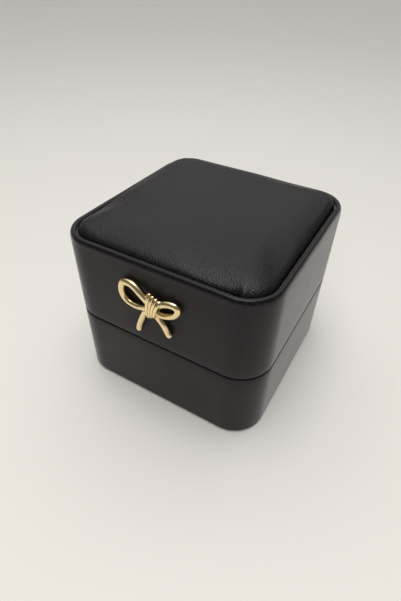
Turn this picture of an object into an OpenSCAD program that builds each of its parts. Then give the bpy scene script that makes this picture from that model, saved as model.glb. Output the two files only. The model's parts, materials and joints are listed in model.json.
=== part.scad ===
// Padded ring box: a hinged lid on a base, both moulded shells wrapped in black
// leatherette, with a cushioned panel let into the lid's rolled rim, a gold bow
// on the lid's front and a soft ring insert inside.
// The origin is the middle of the underside, +Z is up, and the front, with the bow,
// faces -Y. The lid is shut. Millimetres.

/* [Box] */
// Width from side to side
box_w = 66; // [62:0.5:70]
// Depth from front to back, without the bow and the back panels
box_d = 67; // [63:0.5:71]
// Height of the rolled rim of the shut lid
box_h = 54; // [51:0.5:60]
// Radius of the four upright corners
corner_r = 10.5; // [9:0.5:13]
// Height of the seam between base and lid
seam_z = 26; // [24:0.5:28]
// Gap between base and lid along the seam
seam_gap = 0.3; // [0.2:0.05:0.4]

/* [Shells and skins] */
// Thickness of the leatherette
leather_t = 0.5; // [0.4:0.1:0.7]
// Wall of the moulded base
base_wall = 2.2; // [2.1:0.1:2.6]
// Wall of the moulded lid
lid_wall = 1.8; // [1.6:0.1:1.9]
// Floor of the base and ceiling of the lid
floor_t = 1.8; // [1.4:0.1:2.4]
// Thickness of the sheet under the base
sheet_t = 0.4; // [0.3:0.1:0.6]
// Width of the margin round the sheet
sheet_margin = 3; // [2:0.5:5]
// Thickness of the panels that cover the joins at the back
panel_t = 0.6; // [0.4:0.1:0.8]
// Width of the back panels
panel_w = 52; // [46:1:54]

/* [Lid top] */
// Width of the rolled rim
rim_w = 2.2; // [1.8:0.1:2.6]
// Depth of the recess that holds the cushioned panel
recess_depth = 2.6; // [2.2:0.1:3]
// Gap between the rim and the cushion
panel_gap = 0.5; // [0.3:0.1:1]
// Height of the cushion's middle above the rim
crown_rise = 3; // [1.6:0.1:3.6]
// Height of the cushion's edge below the rim
edge_drop = 1.4; // [0.8:0.1:1.6]
// Width of the cushion's rounded shoulder
shoulder_w = 4; // [2.5:0.1:5]

/* [Lining] */
// Thickness of the lined card on the inner walls
liner_t = 1.2; // [1:0.1:1.5]
// Height that the base's lining stands above the seam
collar_h = 3; // [2:0.5:4]
// Top of the ring cushions, measured down from the seam
cushion_drop = 1.6; // [1:0.1:6]
// Width of the slit that grips the ring
slit_w = 0.3; // [0.2:0.1:0.5]
// Thickness of the pad in the lid
lid_pad_t = 4.4; // [3.5:0.1:6]

/* [Hinge] */
// Length of the hinge
hinge_len = 32; // [26:1:36]
// Height of each leaf from the hinge's axis
leaf_h = 11; // [9:0.5:14]
// Thickness of the leaves
leaf_t = 0.7; // [0.6:0.05:0.8]
// Outer radius of the knuckles
knuckle_r = 1.2; // [1.1:0.05:1.3]
// Radius of the pin
pin_r = 0.5; // [0.4:0.05:0.55]
// Radial play between pin and knuckle
pin_play = 0.05; // [0.02:0.01:0.08]
// How far the lid opens, in degrees
lid_open = 95; // [80:1:95]

/* [Bow] */
// Diameter of the rod in the loops
loop_d = 1.8; // [1.6:0.1:2]
// Diameter of the rod in the tails
tail_d = 1.5; // [1.2:0.1:1.7]
// Diameter of the rod wrapped round the knot
wrap_d = 1.1; // [0.9:0.1:1.3]
// Number of turns in the knot
knot_turns = 4; // [3:1:5]
// Side-to-side place of the knot
knot_x = 1.4; // [-2:0.1:2]
// Height of the knot
knot_z = 43.5; // [42:0.5:44.5]

/* [Hidden] */

$fn = 96;
fit = 0.05;                 // play between glued or seated pieces
swing_gap = 0.3;            // room round whatever turns
past = 1;                   // how far a cutter runs past a face

leather_black = "#1d1c1b";
plastic_black = "#2a2a2b";
card_grey = "#8d867a";
suede_cream = "#d9cdb8";
foam_white = "#ece8df";
gold = "#d9b36a";
steel = "#a9abae";

// Heights
base_bottom = sheet_t;
base_top = seam_z - seam_gap / 2;
lid_bottom = seam_z + seam_gap / 2;
base_floor = base_bottom + leather_t + floor_t;
recess_z = box_h - recess_depth;
ceiling_z = recess_z - floor_t;
rim_r = rim_w / 2;
dome_rise = 0.8;            // rise of the cushion between its shoulders

// Insets from the outer face of the box
base_in = leather_t + base_wall;
lid_in = leather_t + lid_wall;
base_lined = base_in + fit + liner_t;
lid_lined = lid_in + fit + liner_t;
panel_in = rim_w + panel_gap;

// The hinge's axis runs along X, just inside the back panels
hinge_y = box_d / 2 + panel_t - knuckle_r;
leaf_inner = 1.7;           // from the axis to the inner face of a leaf
leaf_tab = 1.6;             // height of the tabs that join a leaf to its knuckles
lid_knuckle = 12;           // length of the lid's knuckle
knuckle_gap = 0.2;          // end play between knuckles
notch_angle = lid_open / 2 + 4;
rivet_x = 11;
rivet_z = 7;
rivet_r = 0.7;
rivet_head_r = 1.2;
rivet_head_t = 0.3;
spring_w = 8;
spring_t = 0.25;

// Middle line of the bow's rod, as steps from the knot: sideways, up, and how far it
// stands off the leatherette
left_loop = [[0, 0.6, 2.3], [-2.8, 2.8, 2.1], [-4.6, 4, 1.9], [-6.3, 4.5, 1.6],
    [-7.9, 4.4, 1.4], [-9.4, 3.6, 1.2], [-10.3, 1.8, 1], [-10.4, -0.1, 1],
    [-9.7, -1.8, 1], [-8.2, -2.9, 1], [-6.1, -3.1, 1.1], [-3.8, -2.6, 1.5], [0, -0.8, 2.1]];
right_loop = [[0.6, 0.3, 2.3], [3.1, 1.9, 2.1], [5.1, 2.6, 1.8], [6.7, 2.6, 1.5],
    [7.6, 1.8, 1.2], [7.6, 0.4, 1], [6.6, -1.2, 1], [4.9, -2.3, 1], [3.2, -2.7, 1.1],
    [1.9, -2.3, 1.5], [0.6, -1, 2]];
left_tail = [[0, -1.4, 2.1], [-1.6, -2.8, 1.8], [-3.1, -4.6, 1.4], [-4.6, -7.4, 1.1],
    [-5.6, -10, 0.9], [-6, -12.1, 0.9]];
right_tail = [[0.4, -1.4, 2.1], [0.9, -2.7, 1.8], [1.7, -4.4, 1.3], [2.8, -6.1, 1],
    [3.7, -8, 0.9], [4.6, -9.7, 0.9]];
// The first and the last turn of the knot: sideways step at its top and at its bottom,
// then the height of its top and of its bottom
first_turn = [0.6, 0.1, 4.2, -3.2];
last_turn = [3, 1.6, 2.9, -1.4];
turn_middle = 2.3;          // stand-off of the middle of a turn
turn_deep = 1.5;            // half of a turn's depth, at the middle of its rod
post_r = 0.6;
post_spots = [[-6.1, -3.1], [4.9, -2.3]];
clip_r = 2;
clip_t = 0.5;
clip_seat = 0.7;            // depth of the pocket behind the lid's lining

// Rounded rectangle of the box's outline, drawn in by "inset"
module outline(inset) {
    w = box_w - 2 * inset;
    d = box_d - 2 * inset;
    r = corner_r - inset;
    square([w - 2 * r, d], center = true);
    square([w, d - 2 * r], center = true);
    for (x = [-1, 1], y = [-1, 1])
        translate([x * (w / 2 - r), y * (d / 2 - r)])
            circle(r);
}

// Plate of that outline between two heights
module plate(inset, from, to) {
    translate([0, 0, from])
        linear_extrude(to - from)
            outline(inset);
}

// Upright wall between two insets
module wall(outer, inner, from, to) {
    difference() {
        plate(outer, from, to);
        plate(inner, from - past, to + past);
    }
}

// Carries a profile round the box: x is the inset from the outer face, y the height
module around_box() {
    for (quarter = [0:3]) {
        half_x = (quarter % 2 == 0 ? box_w : box_d) / 2;
        half_y = (quarter % 2 == 0 ? box_d : box_w) / 2;
        straight = half_y - corner_r;
        rotate([0, 0, 90 * quarter]) {
            translate([half_x - corner_r, straight, 0])
                rotate_extrude(angle = 90)
                    translate([corner_r, 0])
                        mirror([1, 0])
                            children();
            translate([0, straight, 0])
                rotate([90, 0, 0])
                    linear_extrude(2 * straight)
                        translate([half_x, 0])
                            mirror([1, 0])
                                children();
        }
    }
}

// Rod along X, from one place to another on the hinge's axis
module hinge_rod(r, from, to) {
    translate([from, hinge_y, seam_z])
        rotate([0, 90, 0])
            cylinder(r = r, h = to - from);
}

// Room for the hinge: a notch along the back edge and a trough for the knuckles
module hinge_room() {
    reach = 4;
    translate([-box_w / 2, hinge_y, seam_z])
        rotate([90, 0, 90])
            linear_extrude(box_w)
                polygon([[0, 0], [reach, -reach * tan(notch_angle)],
                    [reach, reach * tan(notch_angle)]]);
    hinge_rod(knuckle_r + swing_gap, -hinge_len / 2 - swing_gap, hinge_len / 2 + swing_gap);
}

// Seat for one leaf in the inner face of a wall: side is 1 in the lid, -1 in the base
module leaf_seat(side, from_inset) {
    deep = from_inset - (box_d / 2 - hinge_y) - leaf_inner + leaf_t;
    len = hinge_len + 2 * swing_gap;
    low = side > 0 ? seam_z - past : seam_z - leaf_h - swing_gap;
    translate([-len / 2, box_d / 2 - from_inset - past, low])
        cube([len, deep + past, leaf_h + swing_gap + past]);
}

module rivet_holes(side, r) {
    for (x = [-rivet_x, rivet_x])
        translate([x, hinge_y - leaf_inner - past, seam_z + side * rivet_z])
            rotate([-90, 0, 0])
                cylinder(r = r, h = leaf_inner + 2 * past);
}

module rivets(side) {
    shank = box_d / 2 - leather_t - hinge_y + leaf_inner - fit;
    for (x = [-rivet_x, rivet_x])
        translate([x, hinge_y - leaf_inner, seam_z + side * rivet_z])
            rotate([-90, 0, 0]) {
                cylinder(r = rivet_r, h = shank);
                cylinder(r = rivet_head_r, h = rivet_head_t);
            }
}

// Stamped leaf with its knuckles, given as a list of [from, to] along the axis
module leaf(side, knuckles) {
    difference() {
        union() {
            translate([-hinge_len / 2, hinge_y - leaf_inner,
                side > 0 ? seam_z + leaf_tab : seam_z - leaf_h])
                cube([hinge_len, leaf_t, leaf_h - leaf_tab]);
            for (k = knuckles) {
                hinge_rod(knuckle_r, k[0], k[1]);
                translate([k[0], hinge_y - leaf_inner,
                    side > 0 ? seam_z : seam_z - leaf_tab - past])
                    cube([k[1] - k[0], leaf_t, leaf_tab + past]);
            }
        }
        hinge_rod(pin_r + pin_play, -hinge_len / 2 - past, hinge_len / 2 + past);
        rivet_holes(side, rivet_r + fit);
        for (x = [-rivet_x, rivet_x])
            translate([x, hinge_y - leaf_inner - past, seam_z + side * rivet_z])
                rotate([-90, 0, 0])
                    cylinder(r = rivet_head_r + fit, h = past + rivet_head_t + fit);
    }
}

module base_shell() {
    color(plastic_black)
        difference() {
            plate(leather_t, base_bottom + leather_t, base_top - leather_t);
            plate(base_in, base_floor, base_top + past);
            hinge_room();
            leaf_seat(-1, base_in);
            rivet_holes(-1, rivet_r + fit);
        }
}

// Leatherette round the base, turned in under the floor and over the top of the wall
module base_leather() {
    turn_under = 2 * sheet_margin;
    color(leather_black)
        difference() {
            plate(0, base_bottom, base_top);
            plate(leather_t, base_bottom + leather_t, base_top - leather_t);
            plate(turn_under, base_bottom - past, base_bottom + leather_t + past);
            plate(base_in, base_top - leather_t - past, base_top + past);
            hinge_room();
            leaf_seat(-1, base_in);
        }
}

// Patch of leatherette on the back, over the join in the wrap
module back_patch(from, to) {
    intersection() {
        wall(-panel_t, 0, from, to);
        translate([-panel_w / 2, 0, from])
            cube([panel_w, box_d, to - from]);
    }
}

module base_back_panel() {
    color(leather_black)
        difference() {
            back_patch(base_bottom + leather_t, base_top);
            hinge_room();
        }
}

module lid_back_panel() {
    color(leather_black)
        difference() {
            back_patch(lid_bottom, box_h - rim_r);
            hinge_room();
        }
}

module bottom_sheet() {
    color(leather_black)
        plate(sheet_margin, 0, sheet_t);
}

// Lined card round the inside of the base, standing above the seam to guide the lid
module base_liner() {
    color(suede_cream)
        wall(base_in + fit, base_lined, base_floor, seam_z + collar_h);
}

module insert_card() {
    color(card_grey)
        plate(base_lined + fit, base_floor, base_floor + liner_t);
}

// Half of the ring insert: side is -1 for the front half and 1 for the back half
module half_plate(side, inset, from, to) {
    intersection() {
        plate(base_lined + fit + inset, from, to);
        translate([-box_w / 2, side > 0 ? slit_w / 2 + inset : -box_d - slit_w / 2 - inset, from])
            cube([box_w, box_d, to - from]);
    }
}

// Crowned block for one half, drawn in all round by "inset"
module ring_block(side, inset, from) {
    top = seam_z - cushion_drop - inset;
    shoulder = 2.5;
    hull($fn = 32) {
        half_plate(side, inset, from, top - 2 * shoulder);
        half_plate(side, inset + 0.3 * shoulder, from, top - shoulder);
        half_plate(side, inset + 1.6 * shoulder, from, top - 0.25 * shoulder);
        half_plate(side, inset + 3.2 * shoulder, from, top);
    }
}

cover_t = 0.8;              // thickness of the suede cloth and its wadding
module ring_cushion(side) {
    from = base_floor + liner_t;
    color(suede_cream)
        difference() {
            ring_block(side, 0, from);
            ring_block(side, cover_t, from - past);
        }
}

module ring_core(side) {
    color(foam_white)
        ring_block(side, cover_t + fit, base_floor + liner_t);
}

module ring_cushion_front() { ring_cushion(-1); }
module ring_cushion_back() { ring_cushion(1); }
module ring_core_front() { ring_core(-1); }
module ring_core_back() { ring_core(1); }

module hinge_base_leaf() {
    inner = lid_knuckle / 2 + knuckle_gap;
    color(steel)
        leaf(-1, [[-hinge_len / 2, -inner], [inner, hinge_len / 2]]);
}

module hinge_lid_leaf() {
    color(steel)
        leaf(1, [[-lid_knuckle / 2, lid_knuckle / 2]]);
}

module hinge_pin() {
    color(steel)
        hinge_rod(pin_r, -hinge_len / 2, hinge_len / 2);
}

// Flat spring on the base leaf, whose bent end presses on the lid's knuckle
module hinge_spring() {
    back = -leaf_inner - fit;
    front = back - spring_t;
    low = -leaf_h + 0.5;
    bend = -2.2;
    tip = -knuckle_r - swing_gap;
    color(steel)
        translate([-spring_w / 2, hinge_y, seam_z])
            rotate([90, 0, 90])
                linear_extrude(spring_w)
                    polygon([[front, low], [back, low], [back, bend], [tip, 0],
                        [tip - spring_t, 0], [front, bend]]);
}

module base_rivets() {
    color(steel)
        rivets(-1);
}

module lid_rivets() {
    color(steel)
        rivets(1);
}

// Moulded lid: walls, a ceiling and the upstand inside the rolled rim
module lid_shell() {
    upstand_in = rim_w - leather_t;
    color(plastic_black)
        difference() {
            plate(leather_t, lid_bottom + leather_t, box_h - leather_t);
            plate(lid_in, lid_bottom - past, ceiling_z);
            plate(upstand_in, recess_z, box_h);
            hinge_room();
            leaf_seat(1, lid_in);
            rivet_holes(1, rivet_r + fit);
            bow_posts(post_r + fit);
        }
}

// Section of the lid's leatherette: up the wall, over the rolled rim and into the recess
function rim_arc(steps) = [for (i = [0:steps])
    let (a = 180 - 180 * i / steps)
    [rim_r + rim_r * cos(a), box_h - rim_r + rim_r * sin(a)]];

module lid_leather() {
    arc_steps = 14;
    color(leather_black)
        difference() {
            around_box()
                polygon(concat([[lid_in, lid_bottom], [0, lid_bottom]], rim_arc(arc_steps),
                    [[rim_w, recess_z], [rim_w - leather_t, recess_z],
                    [rim_w - leather_t, box_h - leather_t], [leather_t, box_h - leather_t],
                    [leather_t, lid_bottom + leather_t], [lid_in, lid_bottom + leather_t]]));
            hinge_room();
            leaf_seat(1, lid_in);
            bow_posts(post_r + fit);
        }
}

module top_card() {
    color(card_grey)
        plate(panel_in + leather_t, recess_z, recess_z + leather_t);
}

// Crowned pad of the lid's top, drawn in all round by "inset"
module top_block(inset, from) {
    edge = box_h - edge_drop - inset;
    rise = crown_rise + edge_drop - dome_rise;
    hull($fn = 32) {
        for (a = [0:15:90])
            plate(panel_in + inset + shoulder_w * (1 - cos(a)), from, edge + rise * sin(a));
        plate(box_w / 4, from, edge + rise + dome_rise);
    }
}

module top_foam() {
    color(foam_white)
        top_block(leather_t + fit, recess_z + leather_t);
}

module top_cushion() {
    color(leather_black)
        difference() {
            top_block(0, recess_z);
            top_block(leather_t, recess_z - past);
        }
}

module lid_liner() {
    color(suede_cream)
        difference() {
            wall(lid_in + fit, lid_lined, seam_z + collar_h + 2 * swing_gap, ceiling_z);
            for (spot = post_spots)
                translate([knot_x + spot[0], -box_d / 2 + lid_in - past, knot_z + spot[1]])
                    rotate([-90, 0, 0])
                        cylinder(r = clip_r + swing_gap, h = past + fit + clip_seat);
        }
}

// Crowned pad under the lid's ceiling
module pad_block(inset, to) {
    low = ceiling_z - lid_pad_t + inset;
    hull($fn = 32) {
        plate(lid_lined + fit + inset, low + 2.4, to);
        plate(lid_lined + fit + inset + 0.6, low + 1.2, to);
        plate(lid_lined + fit + inset + 2.4, low + 0.4, to);
        plate(lid_lined + fit + inset + 6, low, to);
    }
}

module lid_pad() {
    color(suede_cream)
        difference() {
            pad_block(0, ceiling_z);
            pad_block(cover_t, ceiling_z + past);
        }
}

module lid_pad_foam() {
    color(foam_white)
        pad_block(cover_t + fit, ceiling_z - liner_t);
}

module lid_pad_card() {
    color(card_grey)
        plate(lid_lined + cover_t + 2 * fit, ceiling_z - liner_t, ceiling_z);
}

// Places children by [sideways, up, stand-off] steps from the middle of the knot
module on_front(spot) {
    translate([knot_x + spot[0], -box_d / 2 - spot[2], knot_z + spot[1]])
        children();
}

module rod(points, d) {
    for (i = [0:len(points) - 2])
        hull($fn = 12) {
            on_front(points[i])
                sphere(d / 2);
            on_front(points[i + 1])
                sphere(d / 2);
        }
}

module bow_posts(r) {
    for (spot = post_spots)
        translate([knot_x + spot[0], -box_d / 2 - loop_d / 2, knot_z + spot[1]])
            rotate([-90, 0, 0])
                cylinder(r = r, h = loop_d / 2 + lid_in + clip_t + fit);
}

// One turn of the knot, filled in, because the other strands pass through it
module knot_turn(turn) {
    middle = (turn[2] + turn[3]) / 2;
    tall = (turn[2] - turn[3]) / 2;
    lean = (turn[0] - turn[1]) / 2;
    hull($fn = 12)
        for (a = [0:30:330])
            on_front([turn[1] + lean + lean * sin(a), middle + tall * sin(a),
                turn_middle + turn_deep * cos(a)])
                sphere(wrap_d / 2);
}

module bow() {
    color(gold) {
        rod(left_loop, loop_d);
        rod(right_loop, loop_d);
        rod(left_tail, tail_d);
        rod(right_tail, tail_d);
        for (i = [0:knot_turns - 1])
            knot_turn(first_turn + (last_turn - first_turn) * i / (knot_turns - 1));
        bow_posts(post_r, $fn = 24);
    }
}

module bow_clips() {
    color(steel)
        for (spot = post_spots)
            translate([knot_x + spot[0], -box_d / 2 + lid_in, knot_z + spot[1]])
                rotate([-90, 0, 0])
                    difference() {
                        cylinder(r = clip_r, h = clip_t);
                        translate([0, 0, -past])
                            cylinder(r = post_r + fit, h = clip_t + 2 * past);
                    }
}

base_shell();
base_leather();
base_back_panel();
bottom_sheet();
base_liner();
insert_card();
ring_core_front();
ring_core_back();
ring_cushion_front();
ring_cushion_back();
hinge_base_leaf();
hinge_pin();
hinge_spring();
base_rivets();
lid_shell();
lid_leather();
lid_back_panel();
top_card();
top_foam();
top_cushion();
lid_liner();
lid_pad_card();
lid_pad_foam();
lid_pad();
bow();
bow_clips();
hinge_lid_leaf();
lid_rivets();
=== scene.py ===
# %% [markdown]
# # A padded ring box
# The real box is two thin moulded shells wrapped in black leatherette. The lid's top is a
# padded panel let into a rolled rim, and a small gold bow is fixed to its front. Inside are
# a lined collar, a slit insert for the ring and a pad under the lid's ceiling.
# The shells, cards and hinge come in as the fixed frame. The leatherette, suede, padding
# and bow are made here, in the same place, with the softness that the frame leaves out.

# %% Load the frame
import json
import math
import bpy
import bmesh
import numpy as np
from mathutils import Matrix, Vector, noise


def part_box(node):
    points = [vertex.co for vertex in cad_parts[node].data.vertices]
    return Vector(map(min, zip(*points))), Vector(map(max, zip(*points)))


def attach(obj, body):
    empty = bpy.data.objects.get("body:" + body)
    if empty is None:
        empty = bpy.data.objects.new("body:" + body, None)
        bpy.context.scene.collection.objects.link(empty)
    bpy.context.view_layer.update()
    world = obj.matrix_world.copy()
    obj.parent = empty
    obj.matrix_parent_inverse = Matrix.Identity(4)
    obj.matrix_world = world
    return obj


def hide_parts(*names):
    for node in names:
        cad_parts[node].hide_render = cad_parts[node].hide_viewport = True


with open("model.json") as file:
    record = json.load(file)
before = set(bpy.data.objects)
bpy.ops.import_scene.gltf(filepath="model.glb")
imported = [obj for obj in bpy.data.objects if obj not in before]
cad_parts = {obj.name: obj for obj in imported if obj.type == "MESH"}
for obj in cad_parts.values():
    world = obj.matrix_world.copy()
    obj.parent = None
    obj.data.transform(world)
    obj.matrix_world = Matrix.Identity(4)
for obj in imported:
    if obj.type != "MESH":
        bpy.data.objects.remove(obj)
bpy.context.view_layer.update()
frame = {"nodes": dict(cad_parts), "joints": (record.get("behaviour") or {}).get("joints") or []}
MM = 0.001

# %% [markdown]
# ## Driving sizes
# Every place is worked out from the frame's own boxes, in millimetres. Only what a box can't
# tell, such as the corner radius or the thickness of a skin, is a value of its own.

# %% Sizes
def span(node):
    """Lowest and highest corner of a frame node, in millimetres."""
    low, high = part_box(node)
    return np.array(low) / MM, np.array(high) / MM


lid_low, lid_high = span("lid_leather")
base_low, base_high = span("base_leather")
half_x, half_y = lid_high[0], lid_high[1]
front_y = lid_low[1]
rim_z = lid_high[2]
corner_r = 10.5
skin_t = 0.5
rim_w = 2.2
glue_gap = 0.05
recess_z = span("top_card")[0][2]
lid_wall_in = half_x - span("lid_liner")[1][0]
base_wall_in = half_x - span("base_liner")[1][0]
hinge = frame["joints"][0]
hinge_y, hinge_z = hinge["pos_m"][1] / MM, hinge["pos_m"][2] / MM
hinge_half = span("hinge_base_leaf")[1][0]
print("half width %.1f, half depth %.1f, rim at %.1f, seam at %.1f" % (half_x, half_y, rim_z, hinge_z))

# %% [markdown]
# ## The camera
# The box is seen from above its front corner with a wide lens, held close. The camera's
# axes are written out as a matrix, because a look-at constraint can't hold the slight roll.

# %% Camera
def make_camera(place, turn, tilt, roll, lens):
    """Camera at place (mm), turned from +Y, tilted down and rolled, in degrees."""
    turn, tilt, roll = (math.radians(a) for a in (turn, tilt, roll))
    ahead = Vector((math.sin(turn) * math.cos(tilt), math.cos(turn) * math.cos(tilt), -math.sin(tilt)))
    right = Vector((math.cos(turn), -math.sin(turn), 0))
    up = right.cross(ahead)
    right, up = (right * math.cos(roll) + up * math.sin(roll),
                 up * math.cos(roll) - right * math.sin(roll))
    data = bpy.data.cameras.new("camera")
    data.lens = lens
    data.sensor_width = 36
    data.clip_start = 0.005
    camera = bpy.data.objects.new("camera", data)
    camera.matrix_world = Matrix.Translation(Vector(place) * MM) @ Matrix(
        (right, up, -ahead)).transposed().to_4x4()
    bpy.context.collection.objects.link(camera)
    bpy.context.scene.camera = camera


make_camera(place=(51.83, -98.83, 114.93), turn=-29.35, tilt=40.87, roll=1.46, lens=24.4)
print("camera at", [round(c / MM, 1) for c in bpy.context.scene.camera.matrix_world.translation])

# %% [markdown]
# ## Floor and light
# A large pale floor lights the upright walls from below, as a white counter does. Black
# leatherette has almost no colour of its own, so what is seen on it is a soft reflection:
# of the floor in the walls, of the room in the top. The sky is therefore bright overhead and
# dim near the horizon. A lamp in the ceiling adds the bright band along the front of the
# cushion, and a fill that shows in no reflection lifts the shadow on the counter.

# %% Floor and light
def pale_floor():
    material = bpy.data.materials.new("pale_counter")
    material.use_nodes = True
    shader = material.node_tree.nodes["Principled BSDF"]
    shader.inputs["Base Color"].default_value = (0.86, 0.84, 0.805, 1)
    shader.inputs["Roughness"].default_value = 0.55
    bpy.ops.mesh.primitive_circle_add(vertices=96, radius=2.4, fill_type="NGON")
    floor = bpy.context.object
    floor.name = "floor"
    floor.data.materials.append(material)


def room_light(axis, dark, bright):
    """Sky that is bright round one direction and dim on the opposite side."""
    world = bpy.data.worlds.new("room")
    bpy.context.scene.world = world
    world.use_nodes = True
    nodes, links = world.node_tree.nodes, world.node_tree.links
    coords = nodes.new("ShaderNodeTexCoord")
    towards = nodes.new("ShaderNodeVectorMath")
    towards.operation = "DOT_PRODUCT"
    towards.inputs[1].default_value = Vector(axis).normalized()
    ramp = nodes.new("ShaderNodeMapRange")
    ramp.interpolation_type = "SMOOTHSTEP"
    ramp.inputs["From Min"].default_value = 0.55
    ramp.inputs["From Max"].default_value = 0.95
    ramp.inputs["To Min"].default_value = dark
    ramp.inputs["To Max"].default_value = bright
    links.new(coords.outputs["Generated"], towards.inputs[0])
    links.new(towards.outputs["Value"], ramp.inputs["Value"])
    links.new(ramp.outputs["Result"], nodes["Background"].inputs["Strength"])
    nodes["Background"].inputs["Color"].default_value = (1, 0.985, 0.96, 1)


def soft_lamp(name, place, aim, size, power, mirrored=True):
    """Area lamp. One that isn't mirrored lights matt surfaces only, like a bounce card."""
    data = bpy.data.lights.new(name, "AREA")
    data.shape = "RECTANGLE"
    data.size, data.size_y = size
    data.energy = power
    data.color = (1, 0.975, 0.945)
    lamp = bpy.data.objects.new(name, data)
    lamp.visible_glossy = mirrored
    lamp.location = place
    lamp.rotation_euler = (Vector(aim) - Vector(place)).to_track_quat("-Z", "Y").to_euler()
    bpy.context.collection.objects.link(lamp)


pale_floor()
room_light(axis=(-0.2, 0.35, 0.92), dark=0.15, bright=1.15)
soft_lamp("ceiling_lamp", (0.01, -0.07, 0.6), (0, 0, 0.04), (0.32, 0.32), 1.15)
soft_lamp("front_fill", (0.2, -0.6, 0.7), (0, 0, 0), (0.6, 0.6), 1.9, mirrored=False)
bpy.context.scene.view_settings.view_transform = "Standard"

# %% [markdown]
# ## Helpers for meshes
# The box is one rounded rectangle used many times over, so most skins and linings are a
# section carried round it. `loop_round` gives points on that outline with their outward
# directions, and a section is a list of (inset, height) pairs that runs once round itself.

# %% Mesh helpers
def add_piece(name, points, faces, body, slot, material, replaces=()):
    """A smooth mesh from points in mm, riding on a body and standing for frame nodes."""
    mesh = bpy.data.meshes.new(name)
    mesh.from_pydata([tuple(np.array(p) * MM) for p in points], [], faces)
    mesh.validate()
    piece = bpy.data.objects.new(name, mesh)
    bpy.context.collection.objects.link(piece)
    bm = bmesh.new()
    bm.from_mesh(mesh)
    bmesh.ops.recalc_face_normals(bm, faces=bm.faces)
    bm.to_mesh(mesh)
    bm.free()
    mesh.shade_smooth()
    mesh.materials.append(material)
    if replaces:
        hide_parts(*replaces)
    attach(piece, body)
    return piece


def loop_round(half, radius, corner_steps=14, side_step=1.6, extra_x=()):
    """Points on a rounded rectangle, anticlockwise, each as (x, y, outward x, outward y)."""
    found = []
    for quarter in range(4):
        turn = math.pi / 2 * quarter
        reach = np.array(half if quarter % 2 == 0 else half[::-1]) - radius
        spin = np.array([[math.cos(turn), -math.sin(turn)], [math.sin(turn), math.cos(turn)]])
        steps = max(2, round(2 * reach[1] / side_step))
        side = list(np.linspace(-reach[1], reach[1], steps + 1))
        if quarter in (1, 3):
            side = sorted(side + list(extra_x))
        for s in side[:-1]:
            found.append((spin @ (reach[0] + radius, s), spin @ (1, 0)))
        for a in np.linspace(0, math.pi / 2, corner_steps + 1)[:-1]:
            out = np.array([math.cos(a), math.sin(a)])
            found.append((spin @ (reach + radius * out), spin @ out))
    return [(*p, *n) for p, n in found]


def sweep_section(stations, section):
    """Ring of quads: section(x, y) lists (inset, height) pairs at each station."""
    points, faces = [], []
    for x, y, nx, ny in stations:
        ring = section(x, y)
        count = len(ring)
        points += [(x - nx * u, y - ny * u, z) for u, z in ring]
    total = len(stations)
    for i in range(total):
        for j in range(count):
            a, b = i * count + j, i * count + (j + 1) % count
            c, d = ((i + 1) % total) * count + (j + 1) % count, ((i + 1) % total) * count + j
            faces.append((a, b, c, d))
    return points, faces


def arc(centre, radius, start, end, steps):
    """Points on an arc of a section, in degrees, both ends included."""
    angles = np.radians(np.linspace(start, end, steps + 1))
    return [(centre[0] + radius * math.cos(a), centre[1] + radius * math.sin(a)) for a in angles]


print("stations round the box:", len(loop_round((half_x, half_y), corner_r)))

# %% [markdown]
# ## Effects shared by the finishes
# Grain, nap, brushing and handling marks each show on more than one material, so each is a
# node group, built once, with its own dials. A group gives out only masks and heights; the
# shader that uses them stays in the material. The two helpers below add nodes by name, so
# that each effect reads as a short recipe.

# %% Node helpers
class Group:
    """A node group under construction: sockets first, then nodes and links by name."""

    def __init__(self, name, inputs, outputs):
        self.tree = bpy.data.node_groups.new(name, "ShaderNodeTree")
        for label, kind, value in inputs:
            socket = self.tree.interface.new_socket(label, in_out="INPUT", socket_type=kind)
            if value is not None:
                socket.default_value = value
        for label, kind in outputs:
            self.tree.interface.new_socket(label, in_out="OUTPUT", socket_type=kind)
        self.given = self.tree.nodes.new("NodeGroupInput")
        self.result = self.tree.nodes.new("NodeGroupOutput")

    def node(self, kind, settings=None, **sockets):
        return place_node(self.tree, kind, settings, **sockets)

    def give(self, label, socket):
        self.tree.links.new(socket, self.result.inputs[label])


def place_node(tree, kind, settings=None, **sockets):
    """Adds a node, sets its options, then feeds each socket with a value or a link.
    A socket is named by its label, with _ for a blank, or by in0, in1 ... for its place."""
    made = tree.nodes.new("ShaderNode" + kind)
    for key, value in (settings or {}).items():
        setattr(made, key, value)
    for key, value in sockets.items():
        if key[:2] == "in" and key[2:].isdigit():
            socket = made.inputs[int(key[2:])]
        else:
            socket = made.inputs[key.replace("_", " ")]
        if isinstance(value, bpy.types.NodeSocket):
            tree.links.new(value, socket)
        else:
            socket.default_value = value
    return made


FLOAT, VECTOR = "NodeSocketFloat", "NodeSocketVector"

# %% [markdown]
# ### Grain
# Leatherette is pressed with a pattern of small pebbles with creases between them. Two sizes
# of Voronoi cells, pushed about a little by noise, look less regular than one.

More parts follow.
